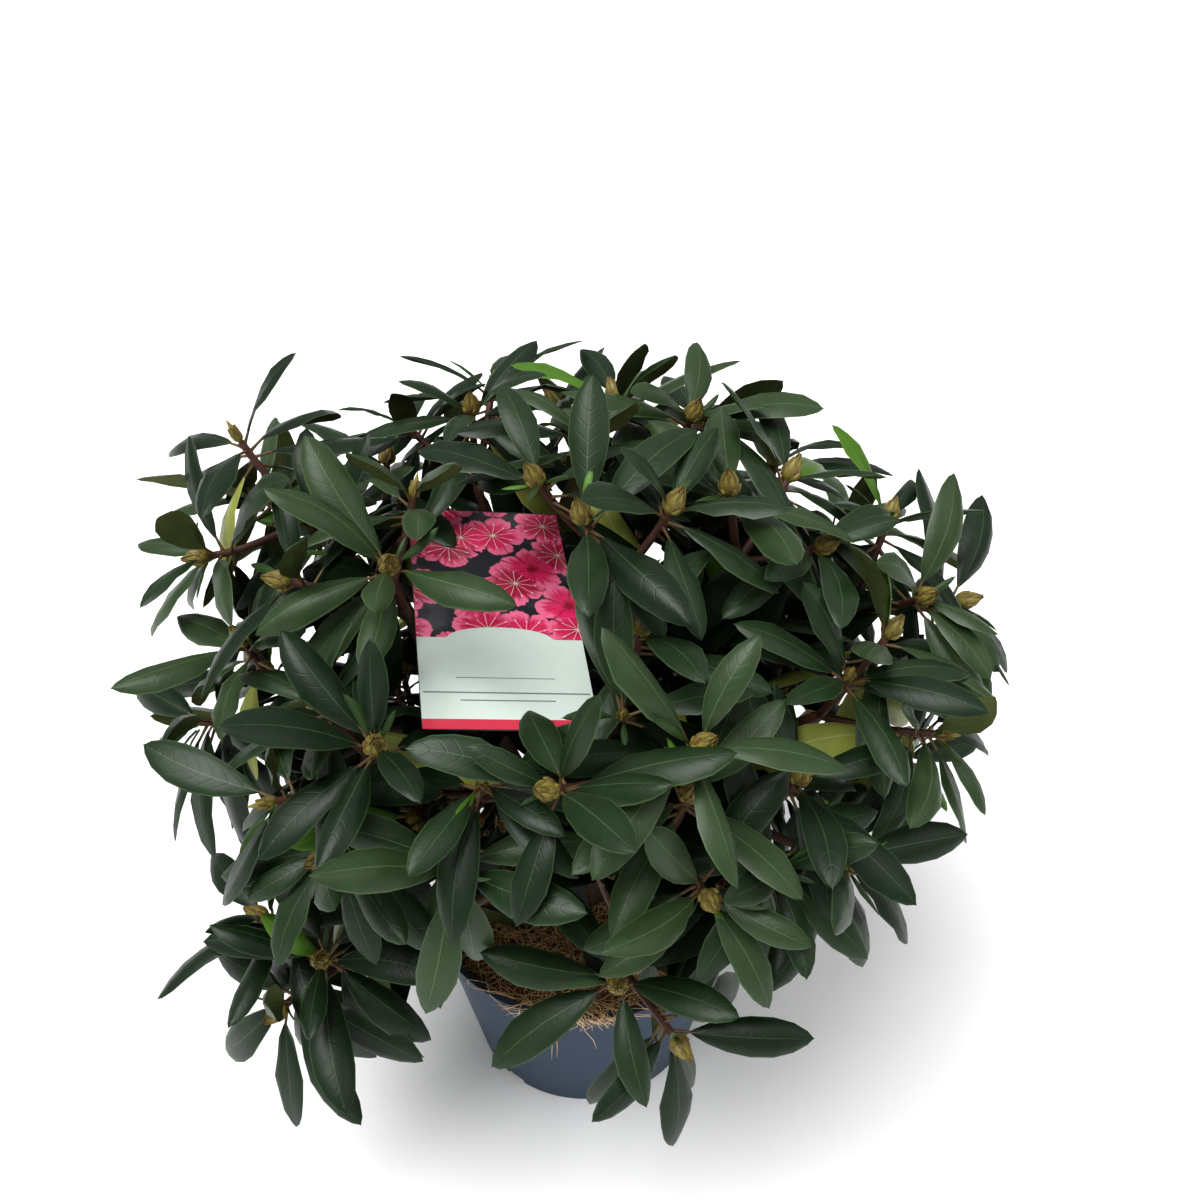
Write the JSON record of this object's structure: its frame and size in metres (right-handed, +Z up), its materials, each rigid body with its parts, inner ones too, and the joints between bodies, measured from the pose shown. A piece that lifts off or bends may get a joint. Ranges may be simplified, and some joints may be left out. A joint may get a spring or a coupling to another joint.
{
  "type": "potted rhododendron",
  "caption": "Bushy evergreen shrub with whorls of long leaves and fat buds, in a low round plastic pot with a picture label.",
  "frame": {"origin": "centre of the pot's flat underside", "axes": "+Z up, -Y towards the front, where the label shows, +X to the right seen from the front"},
  "size_m": [0.7278, 0.6527, 0.708],
  "materials": {
    "pot": "satin",
    "coir": "matte",
    "bark": "matte",
    "foliage": "satin",
    "label": "satin"
  },
  "bodies": {
    "root": {"bough_back": "bark", "bough_back_left": "bark", "bough_front_left": "bark", "bough_front_right": "bark", "bough_left": "bark", "bough_right": "bark", "bough_top": "bark", "leaves_back_left": "foliage", "leaves_back_left_low": "foliage", "leaves_back_low": "foliage", "leaves_back_middle": "foliage", "leaves_back_right": "foliage", "leaves_back_right_low": "foliage", "leaves_centre": "foliage", "leaves_crown_left": "foliage", "leaves_front_centre": "foliage", "leaves_front_left": "foliage", "leaves_front_right": "foliage", "leaves_front_skirt": "foliage", "leaves_left_inner": "foliage", "leaves_left_lower": "foliage", "leaves_left_outer": "foliage", "leaves_left_skirt": "foliage", "leaves_left_upper": "foliage", "leaves_right_front": "foliage", "leaves_right_lower": "foliage", "leaves_right_middle": "foliage", "leaves_right_outer": "foliage", "leaves_right_upper": "foliage", "leaves_top_front": "foliage", "leaves_top_left": "foliage", "leaves_top_middle": "foliage", "leaves_top_right": "foliage", "limb_back_left_low": "bark", "limb_back_low": "bark", "limb_back_right": "bark", "limb_back_right_low": "bark", "limb_centre": "bark", "limb_crown_left": "bark", "limb_front_centre": "bark", "limb_front_right": "bark", "limb_front_skirt": "bark", "limb_left_inner": "bark", "limb_left_lower": "bark", "limb_left_outer": "bark", "limb_left_skirt": "bark", "limb_right_lower": "bark", "limb_right_outer": "bark", "limb_right_upper": "bark", "limb_top_front": "bark", "limb_top_left": "bark", "limb_top_middle": "bark", "plant_label": "label", "pot": "pot", "root_ball": "coir", "trunk": "bark"}
  },
  "joints": []
}
